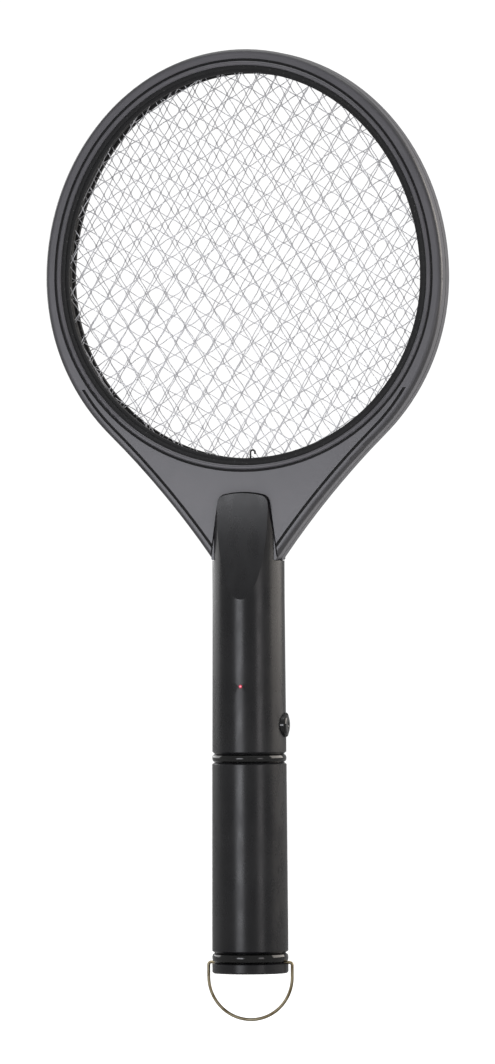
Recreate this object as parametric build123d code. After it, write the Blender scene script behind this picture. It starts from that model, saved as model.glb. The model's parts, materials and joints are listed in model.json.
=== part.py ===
"""Electric fly swatter: racket head with three meshes, split handle, screw-off battery tube and hanging loop.

Millimetres. The origin is on the handle's axis at the joint ring, +Z runs up to the head, the front faces -Y
and the push button is on the +X side. Each sub-part is written to parts/ as its own STEP file.
"""
from build123d import *
import math
import os

os.makedirs("parts", exist_ok=True)

# Head outline
HEAD_HALF_DEPTH = 10.2
APERTURE_Z = 259.2
APERTURE_R = 97.5
APERTURE_ABOVE = 110.5
RING_HALF_WIDTH = 110.0
RING_BELOW = 115.5
RING_ABOVE = 123.0
SHOULDER_ANGLE = 44.5
SHOULDER_FOOT = (17.6, 106.7)
WALL = 2.2
HEAD_EDGE_RADIUS = 2.4

# Front relief of the ring, as distances out from the aperture's edge and depths below the face
LIP_WIDTH = 1.8
LIP_DEPTH = 2.2
LEDGE_WIDTH = 3.1
LEDGE_DEPTH = 0.9
BEAD_FROM = 3.9
BEAD_TO = 6.2
BEAD_HEIGHT = 0.6
GROOVE_TO = 7.5
GROOVE_DEPTH = 1.0
PANEL_EDGE = 0.4
RIM_WIDTH = 3.5
RIM_GROOVE = 1.5
SEAM_DEPTH = 0.5
SEAM_HALF = 0.4

# Mesh stack
CLAMP_WIDTH = 5.4
POCKET_WIDTH = 5.9
MESH_Y = 4.5
MESH_THICK = 0.7
MESH_PITCH = 13.2
MESH_BAR = 1.0
SPACER_INSET = 1.2

# Contact hook: a wire that rises behind the lip and turns over in front of the net
HOOK_X = 2.9
HOOK_Y = -6.0
HOOK_R = 0.5
HOOK_BEND = 1.25
HOOK_TOP = 164.8
HOOK_DROP = 1.0
HOOK_SLOT = 0.8

# Neck that the handle clamps
NECK_HALF_WIDTH = 12.0
NECK_BOTTOM = 90.0
NECK_TOP = 112.0
LEAD_X = 4.6
LEAD_Y = 3.8
LEAD_R = 0.6
LEAD_LANE = 1.2

# Handle
HANDLE_R_LOW = 20.0
HANDLE_R_HIGH = 19.5
HANDLE_TAPER_TOP = 85.0
HANDLE_BASE = 3.3
HANDLE_SHELL = 2.2
SHOULDER_CUT = 106.4
TONGUE_TOP = 142.8
TONGUE_ARCH = 2.2
TONGUE_OVERLAP = 4.0
TONGUE_FOOT_HALF = 18.9
TONGUE_TOP_HALF = 13.5
TONGUE_CORNER = 4.5
TONGUE_GAP = 0.7
FACET = ((-19.6, 85.0), (-15.6, 107.0), (-13.4, 143.4))
COLLAR_SEAT_TOP = 13.4
STOP_WEB = (13.45, 14.4)

# Joint between handle and battery tube
GROOVE_R = 18.7
BEAD_R = 20.05
JOINT_TOP = 2.1
JOINT_BOTTOM = -2.4
COLLAR_IN = 17.0
COLLAR_OUT = 18.0
COLLAR_TOP = 10.4
COLLAR_BOTTOM = -10.0
THREAD_R = 18.3
THREAD_PITCH = 3.0
THREAD_RIDGES = 2
FLANGE = (6.0, 8.0, 18.9)
FIT_GAP = 0.05

# Battery tube and tail
TUBE_R_TOP = 20.1
TUBE_R_TAIL = 20.6
TUBE_TOP = -3.5
TUBE_TAIL = -104.2
TUBE_BORE = 17.15
THREAD_BORE = 18.6
THREAD_BORE_BOTTOM = -10.6
TAIL_TOP = -105.3
TAIL_SPLIT = -110.5
TAIL_END = -116.3
TAIL_FLOOR = -113.8
TAIL_GROOVE_R = 19.1
PLUG_OUT = 18.8
PLUG_IN = 17.2
PLUG_TOP = -97.0

# Cells
CELL_R = 16.6
CELL_LENGTH = 61.5
CELL_NUB_R = 4.7
CELL_NUB = 1.5
CELLS_TOP = 12.9
CONTACT_PLATE_R = 11.0
CONTACT_PLATE = (13.0, 13.4)

# Hanging loop
LOOP_R = 23.2
LOOP_WIRE_R = 0.85
LOOP_LEG_BOTTOM = -118.3
LOOP_BEND = 1.5
LOOP_PIN_END = 17.5
LOOP_PIN_BORE = 0.92
LOOP_NOTCH = 1.2

# Button, switch and indicator
BUTTON_Z = 17.7
BUTTON_R = 5.6
BUTTON_X = (19.2, 21.6)
STEM_R = 2.2
STEM_END = 10.4
BEZEL_OUT = 6.65
BEZEL_IN = 5.95
BEZEL_X = 20.9
CUP_R = 4.4
CUP_IN = 3.9
CUP_X = (13.2, 13.8)
CUP_DISC_X = (16.75, 17.3)
LED_Z = 38.7
LED_LENS_R = 0.95
LED_BODY_R = 1.5

# Circuit board
BOARD_HALF = 8.5
BOARD_Y = (3.0, 4.6)
BOARD_Z = (14.6, 82.0)

# Screws: x, z, height of the seat under the head, height of the tip
HANDLE_SCREWS = ((0, 125, 12.1, -12.0), (0, 97, 12.6, -12.0), (-12, 27, 11.0, -10.0), (12, 34, 11.0, -10.0))
RING_SCREW_ANGLES = (-22, 25, 65, 115, 155, 202)
RING_SCREW_OFFSET = 8.9
SHOULDER_SCREWS = ((40, 152), (-40, 152))
SCREW_R = 1.2
SCREW_HOLE_R = 1.25
SCREW_HEAD_R = 2.4
SCREW_HEAD = 1.6
COUNTERBORE_R = 2.7
BOSS_R = 2.6
TONGUE_BOSS_R = 3.2
CROSS_LONG = 2.6
CROSS_WIDE = 0.6
CROSS_DEEP = 0.8
FAR = 60.0


# ---------------------------------------------------------------- helpers

def slab(sketch, y_front, y_back):
    """Solid of a front-view sketch between two depths."""
    return extrude(Plane.XZ.offset(-y_back) * sketch, y_back - y_front)


def y_rod(x, z, radius, y_front, y_back):
    """Round rod along Y."""
    return slab(Pos(x, z) * Circle(radius), y_front, y_back)


def x_rod(y, z, radius, x_from, x_to):
    """Round rod along X."""
    return extrude(Plane.YZ.offset(x_from) * Pos(y, z) * Circle(radius), x_to - x_from)


def z_rod(x, y, radius, z_from, z_to):
    """Round rod along Z."""
    return extrude(Plane.XY.offset(z_from) * Pos(x, y) * Circle(radius), z_to - z_from)


def block(x, y, z):
    """Box from three (low, high) pairs."""
    size = (x[1] - x[0], y[1] - y[0], z[1] - z[0])
    middle = ((x[0] + x[1]) / 2, (y[0] + y[1]) / 2, (z[0] + z[1]) / 2)
    return Pos(*middle) * Box(*size)


def turned(points):
    """Solid of revolution about Z from (radius, z) points."""
    return revolve(Plane.XZ * make_face(Polyline(*points, close=True)), Axis.Z, 360)


def ring(r_in, r_out, z_from, z_to):
    """Plain round ring about Z."""
    return z_rod(0, 0, r_out, z_from, z_to) - z_rod(0, 0, r_in, z_from - 1, z_to + 1)


def tube_along(path, radius):
    """Round wire swept along a smooth path."""
    start = Plane(path @ 0, z_dir=path % 0)
    return sweep(start * Circle(radius), path=path)


def half(solid, side):
    """The part of a solid in front of (-1) or behind (+1) the split plane."""
    reach = (-FAR, 0) if side < 0 else (0, FAR)
    return solid & block((-3 * FAR, 3 * FAR), reach, (-3 * FAR, 8 * FAR))


# ---------------------------------------------------------------- head outline

def oval(grow):
    """Aperture outline moved out by grow: a half circle below, a half ellipse above."""
    radius = APERTURE_R + grow
    centre = (0, APERTURE_Z)
    lower = CenterArc(centre, radius, 180, 180)
    upper = EllipticalCenterArc(centre, radius, APERTURE_ABOVE + grow, 0, arc_size=180)
    return make_face([lower, upper])


def band(grow_in, grow_out):
    """Front-view strip that follows the aperture."""
    return oval(grow_out) - oval(grow_in)


def shoulder_join(inset):
    """Where the shoulder leaves the ring's ellipse: (x, z, angle round the ellipse from its foot)."""
    wide = RING_HALF_WIDTH - inset
    below = RING_BELOW - inset
    turn = math.atan(wide / below * math.tan(math.radians(SHOULDER_ANGLE)))
    return wide * math.sin(turn), APERTURE_Z - below * math.cos(turn), turn


def outline(inset):
    """Head outline moved in by inset: ring, then shoulders bowed in to the neck."""
    wide = RING_HALF_WIDTH - inset
    below = RING_BELOW - inset
    slope = math.radians(SHOULDER_ANGLE)
    join_x, join_z, turn = shoulder_join(inset)
    outer_x, outer_z, _ = shoulder_join(0)
    chord = math.atan2(outer_z - SHOULDER_FOOT[1], outer_x - SHOULDER_FOOT[0])
    foot_angle = 2 * chord - slope
    foot_x = SHOULDER_FOOT[0] - inset * math.sin(foot_angle)
    foot_z = SHOULDER_FOOT[1] + inset * math.cos(foot_angle)
    centre = (0, APERTURE_Z)
    low_angle = math.degrees(turn) - 90
    return make_face([
        TangentArc((join_x, join_z), (foot_x, foot_z), tangent=(-math.cos(slope), -math.sin(slope))),
        EllipticalCenterArc(centre, wide, below, low_angle, arc_size=-low_angle),
        EllipticalCenterArc(centre, wide, RING_ABOVE - inset, 0, arc_size=180),
        EllipticalCenterArc(centre, wide, below, 180, arc_size=-low_angle),
        TangentArc((-join_x, join_z), (-foot_x, foot_z), tangent=(math.cos(slope), -math.sin(slope))),
        Line((foot_x, foot_z), (-foot_x, foot_z)),
    ])


def tongue_face(grow=0.0):
    """Front view of the handle's tongue over the shoulder panel, with an arched top."""
    foot = TONGUE_FOOT_HALF + grow
    top = TONGUE_TOP_HALF + grow
    shoulder = TONGUE_TOP - TONGUE_ARCH + grow
    foot_z = SHOULDER_CUT - TONGUE_OVERLAP
    face = make_face([
        Line((-foot, foot_z), (foot, foot_z)),
        Line((foot, foot_z), (top, shoulder)),
        ThreePointArc((top, shoulder), (0, TONGUE_TOP + grow), (-top, shoulder)),
        Line((-top, shoulder), (-foot, foot_z)),
    ])
    corners = face.vertices().sort_by(Axis.Y)[-2:]
    return fillet(corners, TONGUE_CORNER + grow)


def inside_opening(place):
    """Whether a mesh cell's near corner lies well inside the aperture."""
    corner = MESH_PITCH / 2 - 2 * MESH_BAR
    x = max(abs(place.position.X) - corner, 0)
    rise = place.position.Y - APERTURE_Z
    reach = APERTURE_ABOVE if rise > 0 else APERTURE_R
    z = max(abs(rise) - corner, 0)
    return (x / APERTURE_R) ** 2 + (z / reach) ** 2 < 1


def ring_screw_places():
    """Front-view places of the head's screws."""
    places = list(SHOULDER_SCREWS)
    for angle in RING_SCREW_ANGLES:
        turn = math.radians(angle)
        up = APERTURE_ABOVE if math.sin(turn) > 0 else APERTURE_R
        x = (APERTURE_R + RING_SCREW_OFFSET) * math.cos(turn)
        z = APERTURE_Z + (up + RING_SCREW_OFFSET) * math.sin(turn)
        places.append((x, z))
    return places


# ---------------------------------------------------------------- head

def raised_bead():
    """Rounded rib round the aperture, standing a little proud of the face."""
    top = -(HEAD_HALF_DEPTH + BEAD_HEIGHT)
    bead = slab(band(BEAD_FROM, BEAD_TO), top, -HEAD_HALF_DEPTH + GROOVE_DEPTH)
    crown = bead.edges().filter_by(lambda e: abs(e.center().Y - top) < 0.01)
    return fillet(crown, 0.45 * (BEAD_TO - BEAD_FROM))


def head_blank():
    """Front half of the head with its edge rounding and front relief."""
    face = -HEAD_HALF_DEPTH
    body = slab(outline(0), face, 0)
    rim = body.edges().filter_by(lambda e: abs(e.center().Y - face) < 0.01)
    rim = rim.filter_by(lambda e: e.center().Z > SHOULDER_FOOT[1] + 1)
    body = fillet(rim, HEAD_EDGE_RADIUS)
    body -= slab(oval(LIP_WIDTH), face - 1, face + LIP_DEPTH)
    body -= slab(band(LIP_WIDTH, LEDGE_WIDTH), face - 1, face + LEDGE_DEPTH)
    body -= slab(band(LEDGE_WIDTH, GROOVE_TO), face - 1, face + GROOVE_DEPTH)
    shoulder_groove = outline(RIM_WIDTH) - outline(RIM_WIDTH + RIM_GROOVE) - oval(GROOVE_TO + PANEL_EDGE)
    lower_only = Pos(0, APERTURE_Z - 150) * Rectangle(300, 180)
    body -= slab(shoulder_groove & lower_only, face - 1, face + GROOVE_DEPTH)
    body -= slab(tongue_face(TONGUE_GAP), face - 1, face + GROOVE_DEPTH)
    body += slab(tongue_face(0.0) & outline(0), face, face + GROOVE_DEPTH + 0.5)
    return body + raised_bead()


def frame_shell():
    """Front half shell: relief face, side wall with a seam, mesh seat, screw pillars and half of the neck."""
    shell = head_blank()
    shell -= slab(outline(-1) - outline(SEAM_DEPTH), -SEAM_HALF, 0)
    inside = outline(WALL) - oval(POCKET_WIDTH)
    shell -= slab(inside, -HEAD_HALF_DEPTH + WALL, 0)
    shell -= slab(oval(0), -FAR, 0)
    shell -= slab(oval(POCKET_WIDTH), -MESH_Y - MESH_THICK / 2 - FIT_GAP, 0)
    for x, z in ring_screw_places():
        shell += y_rod(x, z, BOSS_R, -HEAD_HALF_DEPTH + WALL, 0)
    tongue_x, tongue_z = HANDLE_SCREWS[0][:2]
    shell += y_rod(tongue_x, tongue_z, TONGUE_BOSS_R, -HEAD_HALF_DEPTH + WALL, 0)
    shell += block((-NECK_HALF_WIDTH, NECK_HALF_WIDTH), (-HEAD_HALF_DEPTH, 0), (NECK_BOTTOM, NECK_TOP))
    for side in (-1, 1):
        lane = (side * LEAD_X - LEAD_LANE, side * LEAD_X + LEAD_LANE)
        shell -= block(lane, (-LEAD_Y - LEAD_LANE, 0), (NECK_BOTTOM - 1, NECK_TOP + 1))
    for place in HANDLE_SCREWS[:2]:
        shell -= y_rod(place[0], place[1], SCREW_HOLE_R, -FAR, 0)
    return shell


def frame_front_shell():
    """Front shell with blind screw holes and the slot for the contact hook."""
    shell = frame_shell()
    for x, z in ring_screw_places():
        shell -= y_rod(x, z, SCREW_HOLE_R, -HEAD_HALF_DEPTH + WALL, 0)
    edge_z = APERTURE_Z - APERTURE_R
    slot_x = (HOOK_X - HOOK_SLOT, HOOK_X + HOOK_SLOT)
    return shell - block(slot_x, (HOOK_Y - HOOK_SLOT, -4), (edge_z - POCKET_WIDTH - 1, edge_z + 2))


def frame_rear_shell():
    """Rear shell: the mirror image, with through holes and counterbores for the screws."""
    shell = mirror(frame_shell(), Plane.XZ)
    for x, z in ring_screw_places():
        shell -= y_rod(x, z, SCREW_HOLE_R, -1, FAR)
        shell -= y_rod(x, z, COUNTERBORE_R, HEAD_HALF_DEPTH - SCREW_HEAD - 0.2, FAR)
    return shell


def screw(x, z, seat, tip):
    """Pan-head screw driven in from behind, with a cross recess."""
    body = y_rod(x, z, SCREW_R, tip, seat + 0.2) + y_rod(x, z, SCREW_HEAD_R, seat, seat + SCREW_HEAD)
    top = seat + SCREW_HEAD
    for wide, high in ((CROSS_LONG, CROSS_WIDE), (CROSS_WIDE, CROSS_LONG)):
        body -= block((x - wide / 2, x + wide / 2), (top - CROSS_DEEP, top + 1), (z - high / 2, z + high / 2))
    return body


def frame_screws():
    """The head's screws, as separate solids."""
    seat = HEAD_HALF_DEPTH - SCREW_HEAD - 0.2
    return Compound(children=[screw(x, z, seat, -6.5) for x, z in ring_screw_places()])


def mesh(y):
    """One grid: a clamped edge band with crossing bars over the aperture."""
    count_x = int(APERTURE_R // MESH_PITCH) + 1
    count_z = int(APERTURE_ABOVE // MESH_PITCH) + 1
    opening = oval(-MESH_BAR / 2)
    cell = Rectangle(MESH_PITCH - MESH_BAR, MESH_PITCH - MESH_BAR)
    grid = oval(CLAMP_WIDTH)
    for i in range(count_x):
        for k in range(-count_z, count_z):
            place = Pos(MESH_PITCH * (i + 0.5), APERTURE_Z + MESH_PITCH * (k + 0.5))
            if inside_opening(place):
                hole = opening & (place * cell)
                grid -= hole
                grid -= mirror(hole, Plane.YZ)
    return slab(grid, y - MESH_THICK / 2, y + MESH_THICK / 2)


def mesh_spacer(side):
    """Insulating ring between the centre mesh and an outer mesh."""
    near = MESH_THICK / 2 + FIT_GAP
    far = MESH_Y - MESH_THICK / 2 - FIT_GAP
    spacer = slab(band(SPACER_INSET, CLAMP_WIDTH), near, far)
    return spacer if side > 0 else mirror(spacer, Plane.XZ)


def contact_hook():
    """Wire that hooks over the front mesh to feed it."""
    bottom = APERTURE_Z - APERTURE_R - POCKET_WIDTH + HOOK_R + 0.1
    middle = HOOK_X + HOOK_BEND
    end = HOOK_X + 2 * HOOK_BEND
    risen = (HOOK_X, HOOK_Y, HOOK_TOP)
    turned_over = (end, HOOK_Y, HOOK_TOP)
    path = Wire([
        Line((HOOK_X, HOOK_Y, bottom), risen),
        ThreePointArc(risen, (middle, HOOK_Y, HOOK_TOP + HOOK_BEND), turned_over),
        Line(turned_over, (end, HOOK_Y, HOOK_TOP - HOOK_DROP)),
    ])
    return tube_along(path, HOOK_R)


def mesh_leads():
    """Two insulated leads from the board up to the edge of the mesh stack."""
    top = APERTURE_Z - APERTURE_R - POCKET_WIDTH + 0.3
    return Compound(children=[
        z_rod(side * LEAD_X, LEAD_Y, LEAD_R, BOARD_Z[1], top) for side in (-1, 1)
    ])


# ---------------------------------------------------------------- handle

def handle_blank():
    """Outer form of the upper handle: tapered barrel, tongue outline, facets front and rear."""
    barrel = turned([
        (0, JOINT_TOP), (GROOVE_R, JOINT_TOP), (HANDLE_R_LOW, HANDLE_BASE),
        (HANDLE_R_HIGH, HANDLE_TAPER_TOP), (HANDLE_R_HIGH, TONGUE_TOP + 1), (0, TONGUE_TOP + 1),
    ])
    below = block((-FAR, FAR), (-FAR, FAR), (0, SHOULDER_CUT))
    barrel = barrel & (below + slab(tongue_face(), -FAR, FAR))
    profile = make_face([
        ThreePointArc(*FACET),
        Line(FACET[2], (FACET[2][0], TONGUE_TOP + 5)),
        Line((FACET[2][0], TONGUE_TOP + 5), (-FAR, TONGUE_TOP + 5)),
        Line((-FAR, TONGUE_TOP + 5), (-FAR, FACET[0][1])),
        Line((-FAR, FACET[0][1]), FACET[0]),
    ])
    front = extrude(Plane.YZ.offset(-FAR) * profile, 2 * FAR)
    return barrel - front - mirror(front, Plane.XZ)


def handle_cavity():
    """Everything that is hollow in the upper handle."""
    seat = z_rod(0, 0, COLLAR_OUT + FIT_GAP, 0, COLLAR_SEAT_TOP)
    flange = z_rod(0, 0, FLANGE[2] + FIT_GAP, FLANGE[0] - FIT_GAP, FLANGE[1] + FIT_GAP)
    bore = z_rod(0, 0, HANDLE_R_HIGH - HANDLE_SHELL, COLLAR_SEAT_TOP, HANDLE_TAPER_TOP - 1)
    deep = (-HEAD_HALF_DEPTH - FIT_GAP, HEAD_HALF_DEPTH + FIT_GAP)
    wide = (-NECK_HALF_WIDTH - 2 * FIT_GAP, NECK_HALF_WIDTH + 2 * FIT_GAP)
    neck = block(wide, deep, (HANDLE_TAPER_TOP - 2, SHOULDER_CUT))
    head = block((-FAR, FAR), deep, (SHOULDER_CUT, TONGUE_TOP + 5))
    return [seat, flange, bore, neck, head]


def stop_web():
    """Half web across the bore that the battery contact plate sits against."""
    web = z_rod(0, 0, HANDLE_R_HIGH - HANDLE_SHELL + 0.5, *STOP_WEB)
    web &= block((-FAR, 6.0), (-FAR, FAR), (0, 30))
    return web - z_rod(-5, LEAD_Y, 1.5, 0, 30) - block((-9, FAR), (2.8, 4.8), (14.2, 20))


def handle_shell(side):
    """Front (-1) or rear (+1) half of the upper handle."""
    shell = handle_blank()
    for hollow in handle_cavity():
        shell -= hollow
    shell += stop_web()
    inside = z_rod(0, 0, HANDLE_R_HIGH - HANDLE_SHELL + 0.5, 15, 80)
    for place in HANDLE_SCREWS[2:]:
        shell += y_rod(place[0], place[1], BOSS_R, -FAR, FAR) & inside
    for x, z, seat, tip in HANDLE_SCREWS:
        shell -= y_rod(x, z, SCREW_HOLE_R, tip - 0.3, FAR)
        shell -= y_rod(x, z, COUNTERBORE_R, seat, FAR)
    shell -= x_rod(0, BUTTON_Z, BEZEL_OUT + FIT_GAP, 13.0, FAR)
    shell -= y_rod(0, LED_Z, LED_LENS_R + 0.1, -FAR, -10)
    return half(shell, side)


def handle_screws():
    """Screws that pull the handle halves together, two of them through the head."""
    return Compound(children=[screw(*place) for place in HANDLE_SCREWS])


def threaded_collar():
    """Spigot under the handle that the battery tube screws on to, with ridges for its thread."""
    collar = ring(COLLAR_IN, COLLAR_OUT, COLLAR_BOTTOM, COLLAR_TOP)
    collar += ring(COLLAR_IN, FLANGE[2], FLANGE[0], FLANGE[1])
    for k in range(THREAD_RIDGES):
        middle = JOINT_BOTTOM - 2.2 - k * THREAD_PITCH
        collar += turned([
            (COLLAR_OUT - 0.2, middle - 0.6), (THREAD_R, middle - 0.15),
            (THREAD_R, middle + 0.15), (COLLAR_OUT - 0.2, middle + 0.6),
        ])
    return collar


# ---------------------------------------------------------------- electrics

def circuit_board():
    """Board that runs up the handle."""
    return block((-BOARD_HALF, BOARD_HALF), BOARD_Y, BOARD_Z)


def transformer_core():
    """Ferrite core with two windows."""
    core = block((-8, 8), (-9.7, 1.3), (62, 76))
    for side in (-1, 1):
        window = (3, 6) if side > 0 else (-6, -3)
        core -= block(window, (-20, 20), (64.5, 73.5))
    return core


def transformer_coil():
    """Winding round the core's middle leg."""
    coil = fillet(block((-5.9, 5.9), (-10.9, 2.5), (64.6, 73.4)).edges().filter_by(Axis.Z), 1.5)
    return coil - block((-3.05, 3.05), (-9.75, 1.35), (60, 80))


def high_voltage_capacitor():
    """Dipped film capacitor with two legs."""
    body = block((-7.5, 5.5), (-4.5, 1.6), (46, 57))
    body = fillet(body.edges(), 1.6)
    for z in (48.5, 54.5):
        body += y_rod(-1, z, 0.35, 1.0, BOARD_Y[0])
    return body


def transistor():
    """Small D-shaped transistor with three legs."""
    body = y_rod(4.2, 28, 2.4, -3.8, 1.4) - block((2, 8), (-5, 3), (29.4, 32))
    for x in (2.9, 4.2, 5.5):
        body += y_rod(x, 28, 0.25, 1.2, BOARD_Y[0])
    return body


def axial(x, z, radius, length):
    """Axial component lying on the board with two bent legs."""
    y = BOARD_Y[0] - radius - 0.5
    body = x_rod(y, z, radius, x - length / 2, x + length / 2)
    for side in (-1, 1):
        foot = x + side * (length / 2 + 1.2)
        reach = sorted((x + side * (length / 2 - 0.3), foot + side * 0.3))
        body += x_rod(y, z, 0.3, *reach)
        body += y_rod(foot, z, 0.3, y, BOARD_Y[0])
    return body


def diodes():
    """Voltage multiplier diodes."""
    return Compound(children=[axial(-4.6, z, 1.3, 3.6) for z in (24, 33, 42)])


def resistors():
    """Bleed and base resistors."""
    return Compound(children=[axial(4.9, z, 1.0, 3.2) for z in (34, 42.5)])


def led():
    """Indicator: lens through the shell, body behind it, two legs to the board."""
    body = y_rod(0, LED_Z, LED_BODY_R, -16.2, -12.0)
    lens = y_rod(0, LED_Z, LED_LENS_R, -20.0, -16.0)
    tip = lens.edges().filter_by(lambda e: e.center().Y < -19.9)
    body += fillet(tip, 0.6)
    for x in (-0.9, 0.9):
        body += y_rod(x, LED_Z, 0.25, -12.2, BOARD_Y[0])
    return body


def switch_body():
    """Tactile switch on the board, facing the button's stem."""
    body = block((2.5, 8.5), (-3, BOARD_Y[0]), (14.9, 20.5))
    return body + x_rod(0, BUTTON_Z, 1.6, 8.4, 8.8)


def battery_leads():
    """Leads from the contact plate to the board."""
    return z_rod(-5, LEAD_Y, LEAD_R, CONTACT_PLATE[1], BOARD_Z[0])


def battery_contact_plate():
    """Plate that the upper cell's cap touches."""
    return z_rod(0, 0, CONTACT_PLATE_R, *CONTACT_PLATE)


# ---------------------------------------------------------------- button

def about_button(points):
    """Solid turned about the button's axis from (x, radius) points."""
    face = make_face(Polyline(*[(x, BUTTON_Z + r) for x, r in points], close=True))
    return revolve(Plane.XZ * face, Axis((0, 0, BUTTON_Z), (1, 0, 0)), 360)


def push_button():
    """Domed cap with a shallow dish and a stem."""
    back, front = BUTTON_X
    return about_button([
        (STEM_END, 0), (STEM_END, STEM_R), (back, STEM_R), (back, BUTTON_R),
        (front - 0.8, BUTTON_R), (front - 0.3, BUTTON_R - 0.4), (front, BUTTON_R - 1.2),
        (front, 2.6), (front - 0.35, 1.2), (front - 0.4, 0),
    ])


def button_bezel():
    """Trim ring in the handle's side with the cup that guides the stem and seats the spring."""
    return about_button([
        (CUP_X[0], STEM_R + 0.4), (CUP_X[1], STEM_R + 0.4), (CUP_X[1], CUP_IN),
        (CUP_DISC_X[1], CUP_IN), (CUP_DISC_X[1], BEZEL_IN), (BEZEL_X - 0.4, BEZEL_IN),
        (BEZEL_X, BEZEL_IN + 0.25), (BEZEL_X, BEZEL_OUT - 0.25), (BEZEL_X - 0.3, BEZEL_OUT),
        (CUP_DISC_X[0], BEZEL_OUT), (CUP_DISC_X[0], CUP_R), (CUP_X[0], CUP_R),
    ])


def coil_spring(radius, wire, height, turns):
    """Round-wire coil spring about Z, standing on z = 0."""
    path = Helix(pitch=(height - 2 * wire) / turns, height=height - 2 * wire, radius=radius)
    start = Plane(path @ 0, z_dir=path % 0)
    return Pos(0, 0, wire) * sweep(start * Circle(wire), path=path, is_frenet=True)


def button_spring():
    """Return spring round the button's stem."""
    length = BUTTON_X[0] - CUP_X[1] - 0.1
    spring = coil_spring(3.15, 0.3, length, 4)
    return Pos(CUP_X[1] + 0.05, 0, BUTTON_Z) * Rot(0, 90, 0) * spring


# ---------------------------------------------------------------- battery tube and tail

def bead_ring(top, bottom, r_in, r_groove, r_out):
    """Rounded bead between two V grooves."""
    middle = (top + bottom) / 2
    face = make_face([
        Polyline((r_groove, top), (r_in, top), (r_in, bottom), (r_groove, bottom)),
        Line((r_groove, bottom), (r_out - 0.35, bottom + 0.75)),
        ThreePointArc((r_out - 0.35, bottom + 0.75), (r_out, middle), (r_out - 0.35, top - 0.75)),
        Line((r_out - 0.35, top - 0.75), (r_groove, top)),
    ])
    return revolve(Plane.XZ * face, Axis.Z, 360)


def joint_ring():
    """Bead at the joint between handle and battery tube."""
    return bead_ring(JOINT_TOP - FIT_GAP, JOINT_BOTTOM, THREAD_R + 0.15, GROOVE_R, BEAD_R)


def battery_tube():
    """Flared grip tube with a thread bore above and a plug bore below."""
    return turned([
        (THREAD_BORE, JOINT_BOTTOM - FIT_GAP), (GROOVE_R, JOINT_BOTTOM - FIT_GAP),
        (TUBE_R_TOP, TUBE_TOP), (TUBE_R_TAIL, TUBE_TAIL), (TAIL_GROOVE_R, TAIL_TOP),
        (PLUG_OUT + FIT_GAP, TAIL_TOP), (PLUG_OUT + FIT_GAP, PLUG_TOP + FIT_GAP),
        (TUBE_BORE, PLUG_TOP + FIT_GAP), (TUBE_BORE, THREAD_BORE_BOTTOM), (THREAD_BORE, THREAD_BORE_BOTTOM),
    ])


def loop_holes(radius):
    """Rod through the tail along the hanging loop's pivots."""
    return x_rod(0, TAIL_SPLIT, radius, -FAR, FAR)


def tail_ring():
    """Bead above the tail cap, notched for the loop's ends."""
    bead = bead_ring(TAIL_TOP - FIT_GAP, TAIL_SPLIT, PLUG_OUT + FIT_GAP, TAIL_GROOVE_R, TUBE_R_TAIL)
    return bead - loop_holes(LOOP_NOTCH)


def tail_cap():
    """Closed cap with a plug inside the tube; the loop pivots in the plug's side holes."""
    cap = turned([
        (0, TAIL_END), (TUBE_R_TAIL - 0.8, TAIL_END), (TUBE_R_TAIL, TAIL_END + 0.8),
        (TUBE_R_TAIL, TAIL_SPLIT - 0.8), (TAIL_GROOVE_R, TAIL_SPLIT - FIT_GAP),
        (PLUG_OUT, TAIL_SPLIT - FIT_GAP), (PLUG_OUT, PLUG_TOP), (PLUG_IN, PLUG_TOP),
        (PLUG_IN, TAIL_FLOOR), (0, TAIL_FLOOR),
    ])
    cap -= loop_holes(LOOP_PIN_BORE)
    return cap - (loop_holes(LOOP_NOTCH) - x_rod(0, TAIL_SPLIT, 5, -PLUG_OUT - 0.1, PLUG_OUT + 0.1))


def cell(top):
    """D-size cell with its cap nub up."""
    return turned([
        (0, top - CELL_LENGTH), (CELL_R - 0.7, top - CELL_LENGTH), (CELL_R, top - CELL_LENGTH + 0.7),
        (CELL_R, top - CELL_NUB - 0.7), (CELL_R - 0.7, top - CELL_NUB), (CELL_NUB_R, top - CELL_NUB),
        (CELL_NUB_R, top), (0, top),
    ])


def battery_spring():
    """Coil spring on the tail cap's floor."""
    lower_end = CELLS_TOP - 2 * CELL_LENGTH - FIT_GAP
    length = lower_end - TAIL_FLOOR - 0.1
    return Pos(0, 0, TAIL_FLOOR + 0.05) * coil_spring(7.0, 0.5, length, 2)


def contact_strip():
    """Return strip between the cells and the tube's wall."""
    bottom = PLUG_TOP + 0.5
    return block((-CELL_R - 0.4, -CELL_R - 0.12), (-1.5, 1.5), (bottom, THREAD_BORE_BOTTOM))


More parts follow.
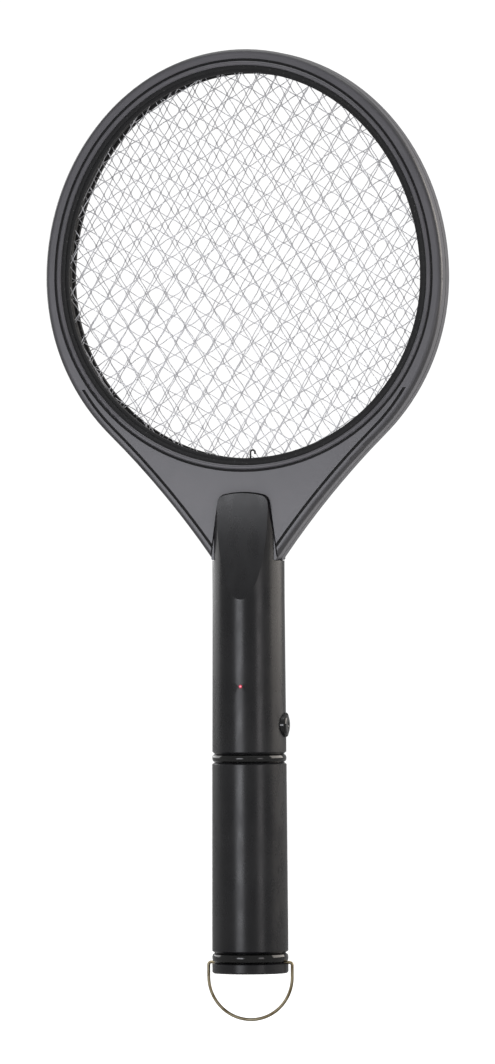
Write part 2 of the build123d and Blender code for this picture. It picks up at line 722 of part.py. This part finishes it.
def hanging_loop():
    """Wire bail: pins turned in along X, straight legs and a half circle."""
    pin = LOOP_R - LOOP_BEND
    knee = TAIL_SPLIT - LOOP_BEND
    slant = math.sqrt(0.5) * LOOP_BEND
    turn_x = pin + slant
    turn_z = knee + slant
    path = Wire([
        Line((-LOOP_PIN_END, 0, TAIL_SPLIT), (-pin, 0, TAIL_SPLIT)),
        ThreePointArc((-pin, 0, TAIL_SPLIT), (-turn_x, 0, turn_z), (-LOOP_R, 0, knee)),
        Line((-LOOP_R, 0, knee), (-LOOP_R, 0, LOOP_LEG_BOTTOM)),
        ThreePointArc(
            (-LOOP_R, 0, LOOP_LEG_BOTTOM), (0, 0, LOOP_LEG_BOTTOM - LOOP_R), (LOOP_R, 0, LOOP_LEG_BOTTOM)
        ),
        Line((LOOP_R, 0, LOOP_LEG_BOTTOM), (LOOP_R, 0, knee)),
        ThreePointArc((LOOP_R, 0, knee), (turn_x, 0, turn_z), (pin, 0, TAIL_SPLIT)),
        Line((pin, 0, TAIL_SPLIT), (LOOP_PIN_END, 0, TAIL_SPLIT)),
    ])
    return tube_along(path, LOOP_WIRE_R)


# ---------------------------------------------------------------- write

PARTS = {
    "frame_front_shell": frame_front_shell,
    "frame_rear_shell": frame_rear_shell,
    "frame_screws": frame_screws,
    "front_mesh": lambda: mesh(-MESH_Y),
    "centre_mesh": lambda: mesh(0),
    "rear_mesh": lambda: mesh(MESH_Y),
    "mesh_spacer_front": lambda: mesh_spacer(-1),
    "mesh_spacer_rear": lambda: mesh_spacer(1),
    "contact_hook": contact_hook,
    "mesh_leads": mesh_leads,
    "handle_front_shell": lambda: handle_shell(-1),
    "handle_rear_shell": lambda: handle_shell(1),
    "handle_screws": handle_screws,
    "threaded_collar": threaded_collar,
    "circuit_board": circuit_board,
    "transformer_core": transformer_core,
    "transformer_coil": transformer_coil,
    "high_voltage_capacitor": high_voltage_capacitor,
    "transistor": transistor,
    "diodes": diodes,
    "resistors": resistors,
    "indicator_led": led,
    "switch_body": switch_body,
    "battery_leads": battery_leads,
    "battery_contact_plate": battery_contact_plate,
    "push_button": push_button,
    "button_bezel": button_bezel,
    "button_spring": button_spring,
    "joint_ring": joint_ring,
    "battery_tube": battery_tube,
    "tail_ring": tail_ring,
    "tail_cap": tail_cap,
    "battery_upper": lambda: cell(CELLS_TOP),
    "battery_lower": lambda: cell(CELLS_TOP - CELL_LENGTH),
    "battery_spring": battery_spring,
    "contact_strip": contact_strip,
    "hanging_loop": hanging_loop,
}


def main():
    """Write every sub-part."""
    for name, make in PARTS.items():
        export_step(make(), f"parts/{name}.step")


if __name__ == "__main__":
    main()
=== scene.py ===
"""Looks of an electric fly swatter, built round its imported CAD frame.

Metres, in the CAD frame: +Z runs up to the head, the front faces -Y and the push button is on the +X side.
The three nets and the button's spring are made here. Every other piece is a CAD node,
dressed with its slot's procedural material.
"""
import json
import math

import bpy
from mathutils import Matrix, Vector, noise


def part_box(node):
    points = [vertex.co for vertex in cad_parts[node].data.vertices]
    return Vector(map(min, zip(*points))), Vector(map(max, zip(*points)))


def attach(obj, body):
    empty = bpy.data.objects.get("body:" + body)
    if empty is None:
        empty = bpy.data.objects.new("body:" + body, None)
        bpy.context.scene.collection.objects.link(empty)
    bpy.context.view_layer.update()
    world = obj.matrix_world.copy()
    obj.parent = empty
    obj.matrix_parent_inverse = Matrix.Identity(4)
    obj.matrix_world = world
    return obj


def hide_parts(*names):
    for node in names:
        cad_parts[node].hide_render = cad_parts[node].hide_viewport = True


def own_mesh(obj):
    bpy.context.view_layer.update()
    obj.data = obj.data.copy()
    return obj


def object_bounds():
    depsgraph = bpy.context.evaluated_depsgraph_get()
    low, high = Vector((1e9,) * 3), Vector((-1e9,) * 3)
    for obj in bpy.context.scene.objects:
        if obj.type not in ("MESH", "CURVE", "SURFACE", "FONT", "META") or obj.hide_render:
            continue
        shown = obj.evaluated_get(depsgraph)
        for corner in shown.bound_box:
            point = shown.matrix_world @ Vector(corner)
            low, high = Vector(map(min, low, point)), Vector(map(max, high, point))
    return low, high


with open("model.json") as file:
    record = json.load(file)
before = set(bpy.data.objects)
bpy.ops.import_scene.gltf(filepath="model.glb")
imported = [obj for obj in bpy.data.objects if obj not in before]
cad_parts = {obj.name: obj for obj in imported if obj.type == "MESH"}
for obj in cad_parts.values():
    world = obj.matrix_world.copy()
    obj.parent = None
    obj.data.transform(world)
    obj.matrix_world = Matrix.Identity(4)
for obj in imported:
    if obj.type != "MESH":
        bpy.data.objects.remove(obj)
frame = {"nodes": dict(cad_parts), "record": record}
CAD_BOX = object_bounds()
NODES = frame["nodes"]
SLOT_OF = {part["node"]: part["material_slot"] for part in frame["record"]["subparts"]}
MM = 0.001

# Camera, floor and world
CAMERA_AZIMUTH = 13.7
CAMERA_DISTANCE = 5.0
CAMERA_ROLL = 0.28
FRAME_OVER_OBJECT = 1.0955
RAISE = 1.9 * MM
ASIDE = 0.43 * MM
SENSOR = 36.0
FLOOR_GAP = 40 * MM
FLOOR_HALF = 9.0
BACKDROP = 1.06
ROOM_LIGHT = 0.38
SKY = 1.0
SKY_FROM = 0.55
SKY_TO = 0.85

# Lights: the sun's strength and its spread in degrees, and upright soft lights round the object
OVERHEAD = 0.45
OVERHEAD_SPREAD = 60
SOFTBOXES = {
    "key": dict(azimuth=-17, distance=1.3, low=-0.15, high=0.16, width=0.44, radiance=6.9,
                colour=(0.94, 0.95, 1.0)),
    "side": dict(azimuth=47, distance=1.3, low=-0.15, high=0.24, width=0.36, radiance=2.4,
                 colour=(1.0, 0.96, 0.98)),
    "rim_left": dict(azimuth=-120, distance=1.6, low=0.08, high=1.2, width=1.6, radiance=2.3),
    "rim_right": dict(azimuth=115, distance=1.6, low=0.08, high=1.2, width=1.6, radiance=4.0,
                      colour=(1.0, 0.93, 0.86)),
}

# Nets: expanded sheet, with its outline read from the CAD nets
CLAMP = 5.4 * MM
NET_LOW, NET_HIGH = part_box("front_mesh")
OPEN_R = NET_HIGH.x - CLAMP
OPEN_Z = NET_LOW.z + NET_HIGH.x
OPEN_ABOVE = NET_HIGH.z - OPEN_Z - CLAMP
SHORT_WAY = 10.6 * MM
LONG_WAY = 18.0 * MM
BOND = 2.2 * MM
STRAND_WIDE = 0.50 * MM
STRAND_THICK = 0.32 * MM
STRAND_RISE = 0.14 * MM
STRAND_SIDES = 8
STRAND_INTO_HEM = 1.2 * MM
HEM_FROM = 1.4 * MM
HEM_TO = 5.2 * MM
HEM_THICK = 0.5 * MM
HEM_STEPS = 192
WANDER = 0.45 * MM
WANDER_OVER = 35 * MM
NETS = {
    "front_mesh": dict(turn_deg=1.2, shift=(1.7 * MM, 0.0)),
    "centre_mesh": dict(turn_deg=-2.0, shift=(-1.2 * MM, 3.1 * MM)),
    "rear_mesh": dict(turn_deg=88.5, shift=(0.6 * MM, 2.2 * MM)),
}

# Button spring
SPRING_WIRE = 0.6 * MM
SPRING_TURNS = 4
SPRING_STEPS = 24
SPRING_SIDES = 12

# Head relief, out from the middle plane: face, start of the rounded edge, and just above the groove floors
FACE_Y = 10.2 * MM
ROUND_FROM = 7.8 * MM
GROOVE_FLOOR_Y = 9.25 * MM

# Head relief, out from the aperture's edge: the end of the grooves round it, and the end of the lip that is
# painted dark as shade
BEAD_END = 7.6 * MM
LIP_TO = 3.2 * MM

# Head finish, with the blends and strength of the shade painted on the lip, groove floors and rounded edge
STEP_BLEND = 0.02 * MM
LIP_BLEND = 0.1 * MM
BEAD_BLEND = 0.2 * MM
EDGE_BLEND = 0.3 * MM
EDGE_SHADE = 0.7
PANEL_ROUGH = 0.3
RECESS_ROUGH = 0.75

# Every plastic's fine grain, and the sharpest turn that is shaded smooth, in degrees
GRAIN = 0.5 * MM
GRAIN_DEPTH = 0.005 * MM
SMOOTH_UP_TO = 50


# ---------------------------------------------------------------- materials

class Tree:
    """A material's node tree, with short ways to add the nodes used here."""

    def __init__(self, name):
        self.material = bpy.data.materials.new(name)
        self.material.use_nodes = True
        self.nodes = self.material.node_tree.nodes
        self.links = self.material.node_tree.links
        self.shader = self.nodes["Principled BSDF"]
        self.coords = self.nodes.new("ShaderNodeTexCoord")

    def feed(self, socket, value):
        if isinstance(value, bpy.types.NodeSocket):
            self.links.new(value, socket)
        else:
            socket.default_value = value

    def add(self, kind, *values, **settings):
        made = self.nodes.new("ShaderNode" + kind)
        for name, value in settings.items():
            setattr(made, name, value)
        for socket, value in zip(made.inputs, values):
            self.feed(socket, value)
        return made

    def maths(self, operation, *values):
        return self.add("Math", *values, operation=operation).outputs[0]

    def noise(self, size, detail=2.0, stretch=(1, 1, 1)):
        """Noise from 0 to 1 whose spots are about size metres across, times stretch."""
        place = self.add("VectorMath", self.coords.outputs["Object"], stretch, operation="DIVIDE")
        made = self.nodes.new("ShaderNodeTexNoise")
        self.feed(made.inputs["Vector"], place.outputs[0])
        self.feed(made.inputs["Scale"], 1 / size)
        self.feed(made.inputs["Detail"], detail)
        return made.outputs["Fac"]

    def span(self, value, low, high, to_low=0.0, to_high=1.0):
        """value moved from the span low to high to another span, and held within it."""
        return self.add("MapRange", value, low, high, to_low, to_high).outputs[0]

    def mix(self, share, first, second):
        made = self.nodes.new("ShaderNodeMix")
        made.data_type = "RGBA"
        self.feed(made.inputs["Factor"], share)
        self.feed(made.inputs[6], (*first, 1) if isinstance(first, tuple) else first)
        self.feed(made.inputs[7], (*second, 1) if isinstance(second, tuple) else second)
        return made.outputs[2]

    def bump(self, height, depth):
        made = self.nodes.new("ShaderNodeBump")
        self.feed(made.inputs["Height"], height)
        self.feed(made.inputs["Distance"], depth)
        self.links.new(made.outputs["Normal"], self.shader.inputs["Normal"])

    def set(self, **values):
        """Sets or links the shader's sockets, named with _ for a space."""
        for name, value in values.items():
            if isinstance(value, tuple):
                value = (*value, 1)
            self.feed(self.shader.inputs[name.replace("_", " ")], value)
        return self.material


def moulded(name, dark, light, rough, depth=GRAIN_DEPTH, **plain):
    """Moulded plastic: slow colour change, handling marks in the gloss and a fine grained skin."""
    tree = Tree(name)
    patches = tree.span(tree.noise(28 * MM, 3), 0.35, 0.65)
    marks = tree.noise(6 * MM, 4, (1, 1, 2.5))
    tree.bump(tree.noise(GRAIN, 2), depth)
    return tree.set(
        Base_Color=tree.mix(patches, dark, light),
        Roughness=tree.span(marks, 0.35, 0.65, *rough),
        **plain,
    )


def metal(name, bright, dull, rough, patch=4 * MM, stretch=(1, 1, 1)):
    """Bare or plated metal with duller patches and fine drawing marks."""
    tree = Tree(name)
    patches = tree.span(tree.noise(patch, 4), 0.38, 0.66)
    lines = tree.noise(0.25 * MM, 2, stretch)
    tree.bump(lines, 0.01 * MM)
    return tree.set(
        Base_Color=tree.mix(patches, bright, dull),
        Metallic=1.0,
        Roughness=tree.span(lines, 0.3, 0.7, *rough),
    )


def outward(tree):
    """How far a point of the head lies out from the aperture's edge, and from the middle plane."""
    place = tree.add("SeparateXYZ", tree.coords.outputs["Object"])
    rise = tree.maths("SUBTRACT", place.outputs["Z"], OPEN_Z)
    above = tree.maths("MULTIPLY", tree.maths("MAXIMUM", rise, 0.0), OPEN_R / OPEN_ABOVE)
    rise = tree.maths("ADD", above, tree.maths("MINIMUM", rise, 0.0))
    flat = tree.add("CombineXYZ", place.outputs["X"], 0.0, rise)
    reach = tree.add("VectorMath", flat.outputs[0], operation="LENGTH").outputs["Value"]
    return tree.maths("SUBTRACT", reach, OPEN_R), tree.maths("ABSOLUTE", place.outputs["Y"])


def head_plastic():
    """Satin charcoal plastic. Groove floors, the lip and the wall inside the aperture are matt and painted
    near-black as shade, and the rounded outer edge is painted darker as shade.
    """
    tree = Tree("head_plastic")
    out, depth = outward(tree)
    normal = tree.add("SeparateXYZ", tree.coords.outputs["Normal"])
    # Painted shade: groove floors facing front or back, the lip and the wall inside the aperture get a
    # near-black colour below, as well as a matt finish.
    facing = tree.span(tree.maths("ABSOLUTE", normal.outputs["Y"]), 0.7, 0.9)
    deep = tree.span(depth, GROOVE_FLOOR_Y + STEP_BLEND, GROOVE_FLOOR_Y - STEP_BLEND)
    lip = tree.span(out, LIP_TO + LIP_BLEND, LIP_TO - LIP_BLEND)
    shaded_recess = tree.maths("MAXIMUM", lip, tree.maths("MULTIPLY", facing, deep))
    # Painted shade: the rounded outer edge of the head, out past the grooves, is darkened into the panel
    # colour by the edge shade strength.
    shaded_edge = tree.maths("MULTIPLY", tree.span(depth, ROUND_FROM, ROUND_FROM + EDGE_BLEND),
                      tree.span(depth, FACE_Y - STEP_BLEND, FACE_Y - EDGE_BLEND))
    shaded_edge = tree.maths("MULTIPLY", shaded_edge, tree.span(out, BEAD_END, BEAD_END + BEAD_BLEND))
    patches = tree.span(tree.noise(24 * MM, 3), 0.35, 0.65)
    flecks = tree.span(tree.noise(0.8 * MM, 3), 0.66, 0.74)
    panel = tree.mix(patches, (0.069, 0.068, 0.076), (0.080, 0.078, 0.087))
    panel = tree.mix(tree.maths("MULTIPLY", shaded_edge, EDGE_SHADE), panel, (0.020, 0.020, 0.021))
    # The near-black painted shade for those recesses, with paler flecks.
    floor = tree.mix(flecks, (0.010, 0.010, 0.011), (0.10, 0.10, 0.10))
    tree.bump(tree.noise(GRAIN, 2), GRAIN_DEPTH)
    return tree.set(
        Base_Color=tree.mix(shaded_recess, panel, floor),
        Roughness=tree.maths("MAXIMUM", tree.maths("MULTIPLY", shaded_recess, RECESS_ROUGH), PANEL_ROUGH),
        Specular_IOR_Level=0.5,
    )


def lamp_lens():
    """Tinted lens, lit from inside, cloudy in colour."""
    tree = Tree("lamp_lens")
    cloud = tree.span(tree.noise(0.6 * MM, 2), 0.3, 0.7)
    return tree.set(
        Base_Color=tree.mix(cloud, (0.50, 0.03, 0.06), (0.75, 0.12, 0.18)),
        Roughness=0.15,
        Emission_Color=(1.0, 0.08, 0.16),
        Emission_Strength=0.12,
        Coat_Weight=0.6,
        Coat_Roughness=0.05,
    )


def wound(name, dark, light, wire):
    """Enamelled wire wound round X: fine ridges across the winding, with their crests painted lighter as
    highlight and the hollows between turns painted darker as shade.
    """
    tree = Tree(name)
    place = tree.add("SeparateXYZ", tree.coords.outputs["Object"])
    turn = tree.maths("MULTIPLY", place.outputs["X"], 2 * math.pi / wire)
    ridge = tree.span(tree.maths("SINE", turn), -1.0, 1.0)
    tree.bump(ridge, 0.08 * MM)
    # The colour follows the ridges: painted highlight on the crests, painted shade between the turns.
    return tree.set(Base_Color=tree.mix(ridge, dark, light), Roughness=0.3, Metallic=0.6)


MATERIALS = {
    "frame_plastic": head_plastic(),
    "handle_plastic": moulded("handle_plastic", (0.005, 0.005, 0.006), (0.009, 0.009, 0.010), (0.25, 0.33),
                              Specular_IOR_Level=0.42),
    "gloss_black": moulded("gloss_black", (0.003, 0.003, 0.003), (0.005, 0.005, 0.005), (0.08, 0.14),
                           depth=0.003 * MM),
    "mesh_metal": metal("mesh_metal", (0.86, 0.86, 0.88), (0.60, 0.60, 0.62), (0.28, 0.45)),
    "spacer_plastic": moulded("spacer_plastic", (0.010, 0.010, 0.011), (0.018, 0.018, 0.019), (0.40, 0.55)),
    "screw_steel": metal("screw_steel", (0.58, 0.58, 0.60), (0.38, 0.37, 0.36), (0.25, 0.42), 1.5 * MM),
    "board_green": moulded("board_green", (0.010, 0.085, 0.030), (0.014, 0.120, 0.042), (0.25, 0.35)),
    "ferrite": moulded("ferrite", (0.018, 0.018, 0.020), (0.035, 0.035, 0.038), (0.55, 0.70)),
    "copper_winding": wound("copper_winding", (0.30, 0.09, 0.03), (0.62, 0.26, 0.10), 0.5 * MM),
    "dipped_red": moulded("dipped_red", (0.20, 0.014, 0.008), (0.28, 0.022, 0.012), (0.15, 0.25)),
    "component_black": moulded("component_black", (0.008, 0.008, 0.009), (0.016, 0.016, 0.017), (0.40, 0.55)),
    "component_tan": moulded("component_tan", (0.40, 0.25, 0.10), (0.50, 0.33, 0.15), (0.30, 0.40)),
    "led_red": lamp_lens(),
    "spring_steel": metal("spring_steel", (0.62, 0.61, 0.59), (0.42, 0.41, 0.39), (0.20, 0.35), 2 * MM),
    "cell_can": metal("cell_can", (0.60, 0.60, 0.62), (0.52, 0.52, 0.54), (0.28, 0.38), 8 * MM, (1, 1, 30)),
    "loop_brass": metal("loop_brass", (0.34, 0.29, 0.19), (0.17, 0.13, 0.07), (0.28, 0.45), 5 * MM),
    "lead_insulation": moulded("lead_insulation", (0.30, 0.012, 0.010), (0.36, 0.016, 0.013), (0.40, 0.50)),
}


def dress(piece, material):
    piece.data.materials.clear()
    piece.data.materials.append(material)


def dress_cad_nodes():
    for name, piece in NODES.items():
        dress(piece, MATERIALS[SLOT_OF[name]])


def stand_in(node, kind, verts, faces):
    """A piece on the handle that takes a CAD node's place and material slot."""
    mesh = bpy.data.meshes.new(f"{node}_{kind}")
    mesh.from_pydata(verts, [], faces)
    mesh.shade_smooth()
    mesh.set_sharp_from_angle(angle=math.radians(SMOOTH_UP_TO))
    piece = bpy.data.objects.new(f"{node}_{kind}", mesh)
    bpy.context.scene.collection.objects.link(piece)
    dress(piece, MATERIALS[SLOT_OF[node]])
    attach(piece, "handle")
    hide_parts(node)
    return piece


# ---------------------------------------------------------------- nets

def oval(turn, grow):
    """Point on the aperture's edge moved out by grow, at an angle from +X: (x, z)."""
    up = OPEN_ABOVE if math.sin(turn) > 0 else OPEN_R
    return (OPEN_R + grow) * math.cos(turn), OPEN_Z + (up + grow) * math.sin(turn)


def inside_oval(x, z, grow):
    up = OPEN_ABOVE if z > OPEN_Z else OPEN_R
    return (x / (OPEN_R + grow)) ** 2 + ((z - OPEN_Z) / (up + grow)) ** 2 < 1


def cut_corners(points):
    """The same open line with each corner cut once."""
    cut = [points[0]]
    for a, b in zip(points, points[1:]):
        cut += [a.lerp(b, 0.25), a.lerp(b, 0.75)]
    return cut + [points[-1]]


def strand_line(index, reach):
    """One zigzag strand along V, with short straight bonds where it meets its neighbours: (u, y, v)."""
    middle = index * SHORT_WAY / 2
    swing = SHORT_WAY / 4 - STRAND_WIDE / 2
    points = []
    for step in range(-reach, reach + 1):
        side = 1 if (index + step) % 2 == 0 else -1
        for end in (-1, 1):
            v = step * LONG_WAY / 2 + end * BOND / 2
            points.append(Vector((middle + side * swing, end * STRAND_RISE, v)))
    return cut_corners(points)


def laid(point, turn, shift, y):
    """A strand's point in its net: turned about Y, moved along, and a little uneven."""
    across = point.x + shift[0]
    along = point.z + shift[1]
    x = across * math.cos(turn) + along * math.sin(turn)
    z = OPEN_Z - across * math.sin(turn) + along * math.cos(turn)
    wander = noise.noise_vector(Vector((x, y * 3, z)) / WANDER_OVER) * WANDER
    return Vector((x + wander.x, y + point.y, z + wander.z))


def runs_inside(points, grow):
    """The stretches of a line that lie within the aperture's edge moved out by grow."""
    run = []
    for point in points:
        if inside_oval(point.x, point.z, grow):
            run.append(point)
            continue
        if len(run) > 1:
            yield run
        run = []
    if len(run) > 1:
        yield run


def sweep(points, verts, faces, wide, thick, through_axis, sides):
    """Adds a strand with a many-sided section along a line: thick along an axis and wide across it."""
    first = len(verts)
    for i, point in enumerate(points):
        along = (points[min(i + 1, len(points) - 1)] - points[max(i - 1, 0)]).normalized()
        across = along.cross(through_axis).normalized()
        through = across.cross(along)
        for side in range(sides):
            turn = math.tau * (side + 0.5) / sides
            out = across * math.cos(turn) * wide / 2 + through * math.sin(turn) * thick / 2
            verts.append(point + out / math.cos(math.pi / sides))
    for i in range(len(points) - 1):
        for side in range(sides):
            a = first + i * sides + side
            b = first + i * sides + (side + 1) % sides
            faces.append((a, b, b + sides, a + sides))
    last = first + (len(points) - 1) * sides
    faces.append(tuple(range(first + sides - 1, first - 1, -1)))
    faces.append(tuple(range(last, last + sides)))


def hem(y, verts, faces):
    """Adds the flat rim that the head's shells clamp."""
    first = len(verts)
    section = ((HEM_FROM, -1), (HEM_TO, -1), (HEM_TO, 1), (HEM_FROM, 1))
    corners = len(section)
    for step in range(HEM_STEPS):
        for grow, side in section:
            x, z = oval(math.tau * step / HEM_STEPS, grow)
            verts.append(Vector((x, y + side * HEM_THICK / 2, z)))
    for step in range(HEM_STEPS):
        here = first + step * corners
        there = first + (step + 1) % HEM_STEPS * corners
        for k in range(corners):
            after = (k + 1) % corners
            faces.append((here + k, here + after, there + after, there + k))


def net(node, turn_deg, shift):
    """An expanded-metal net in place of a CAD one."""
    low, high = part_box(node)
    y = (low.y + high.y) / 2
    turn = math.radians(turn_deg)
    half = OPEN_ABOVE + CLAMP + 2 * LONG_WAY
    columns = int(half / (SHORT_WAY / 2))
    rows = int(half / (LONG_WAY / 2))
    verts = []
    faces = []
    for index in range(-columns, columns + 1):
        line = [laid(point, turn, shift, y) for point in strand_line(index, rows)]
        for run in runs_inside(line, HEM_FROM + STRAND_INTO_HEM):
            sweep(run, verts, faces, STRAND_WIDE, STRAND_THICK, Vector((0, 1, 0)), STRAND_SIDES)
    hem(y, verts, faces)
    stand_in(node, "net", verts, faces)


# ---------------------------------------------------------------- button spring

def button_spring():
    """Coil round the button's stem, at its rest length."""
    low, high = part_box("button_spring")
    middle = (low + high) / 2
    coil_r = (high.z - low.z - SPRING_WIRE) / 2
    length = high.x - low.x
    points = []
    for step in range(SPRING_TURNS * SPRING_STEPS + 1):
        turn = math.tau * step / SPRING_STEPS
        share = step / (SPRING_TURNS * SPRING_STEPS)
        x = low.x + SPRING_WIRE / 2 + share * (length - SPRING_WIRE)
        points.append(Vector((x, middle.y + coil_r * math.sin(turn), middle.z + coil_r * math.cos(turn))))
    verts = []
    faces = []
    sweep(points, verts, faces, SPRING_WIRE, SPRING_WIRE, Vector((1, 0, 0)), SPRING_SIDES)
    piece = stand_in("button_spring", "coil", verts, faces)
    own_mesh(piece)


# ---------------------------------------------------------------- stage

def toward(azimuth):
    """Unit vector from the axis towards an azimuth: 0 is in front, 90 on the button's side."""
    turn = math.radians(azimuth)
    return Vector((math.sin(turn), -math.cos(turn), 0))


def add_camera():
    low, high = CAD_BOX
    back = toward(CAMERA_AZIMUTH)
    left = Vector((back.y, -back.x, 0))
    target = Vector((0, 0, (low.z + high.z) / 2 + RAISE)) + left * ASIDE
    data = bpy.data.cameras.new("camera")
    data.sensor_width = SENSOR
    data.lens = SENSOR * CAMERA_DISTANCE / ((high.z - low.z) * FRAME_OVER_OBJECT)
    camera = bpy.data.objects.new("camera", data)
    bpy.context.scene.collection.objects.link(camera)
    facing = (-back).to_track_quat("-Z", "Y").to_matrix().to_4x4()
    roll = Matrix.Rotation(-math.radians(CAMERA_ROLL), 4, "Z")
    camera.matrix_world = Matrix.Translation(target + back * CAMERA_DISTANCE) @ facing @ roll
    bpy.context.scene.camera = camera


def softbox(name, azimuth, distance, low, high, width, radiance, colour=(1, 1, 1)):
    """Upright soft light facing the axis, between two heights."""
    data = bpy.data.lights.new(name, "AREA")
    data.shape = "RECTANGLE"
    data.size = width
    data.size_y = high - low
    data.energy = radiance * math.pi * width * (high - low)
    data.color = colour
    light = bpy.data.objects.new(name, data)
    bpy.context.scene.collection.objects.link(light)
    light.location = toward(azimuth) * distance + Vector((0, 0, (low + high) / 2))
    light.rotation_euler = (-toward(azimuth)).to_track_quat("-Z", "Y").to_euler()
    light.visible_camera = False


def add_world():
    """White to the camera. The object gets a dim even light, and a brighter one from steeply above."""
    world = bpy.data.worlds.new("studio")
    world.use_nodes = True
    nodes = world.node_tree.nodes
    split = nodes.new("ShaderNodeSeparateXYZ")
    world.node_tree.links.new(nodes.new("ShaderNodeTexCoord").outputs["Generated"], split.inputs[0])
    sky = nodes.new("ShaderNodeMapRange")
    sky.inputs["From Min"].default_value = SKY_FROM
    sky.inputs["From Max"].default_value = SKY_TO
    sky.inputs["To Min"].default_value = ROOM_LIGHT
    sky.inputs["To Max"].default_value = SKY
    world.node_tree.links.new(split.outputs["Z"], sky.inputs["Value"])
    level = nodes.new("ShaderNodeMapRange")
    world.node_tree.links.new(sky.outputs[0], level.inputs["To Min"])
    level.inputs["To Max"].default_value = BACKDROP
    camera_ray = nodes.new("ShaderNodeLightPath").outputs["Is Camera Ray"]
    world.node_tree.links.new(camera_ray, level.inputs["Value"])
    world.node_tree.links.new(level.outputs[0], nodes["Background"].inputs["Strength"])
    nodes["Background"].inputs["Color"].default_value = (1, 1, 1, 1)
    bpy.context.scene.world = world
    bpy.context.scene.view_settings.view_transform = "Standard"


def add_lights():
    """Wide light from above that keeps the floor white, and upright soft lights round the object."""
    data = bpy.data.lights.new("overhead", "SUN")
    data.angle = math.radians(OVERHEAD_SPREAD)
    data.energy = OVERHEAD * math.pi
    bpy.context.scene.collection.objects.link(bpy.data.objects.new("overhead", data))
    for name, settings in SOFTBOXES.items():
        softbox(name, **settings)


def add_floor():
    height = CAD_BOX[0].z - FLOOR_GAP
    corners = [(x * FLOOR_HALF, y * FLOOR_HALF, height) for x, y in ((-1, -1), (1, -1), (1, 1), (-1, 1))]
    mesh = bpy.data.meshes.new("floor")
    mesh.from_pydata(corners, [], [(0, 1, 2, 3)])
    floor = bpy.data.objects.new("floor", mesh)
    bpy.context.scene.collection.objects.link(floor)
    tree = Tree("floor")
    cloud = tree.span(tree.noise(0.4, 2), 0.3, 0.7)
    dress(floor, tree.set(Base_Color=tree.mix(cloud, (0.93, 0.93, 0.93), (0.95, 0.95, 0.95)), Roughness=0.9))
    floor.visible_glossy = False


dress_cad_nodes()
for node, settings in NETS.items():
    net(node, **settings)
button_spring()
add_camera()
add_world()
add_lights()
add_floor()
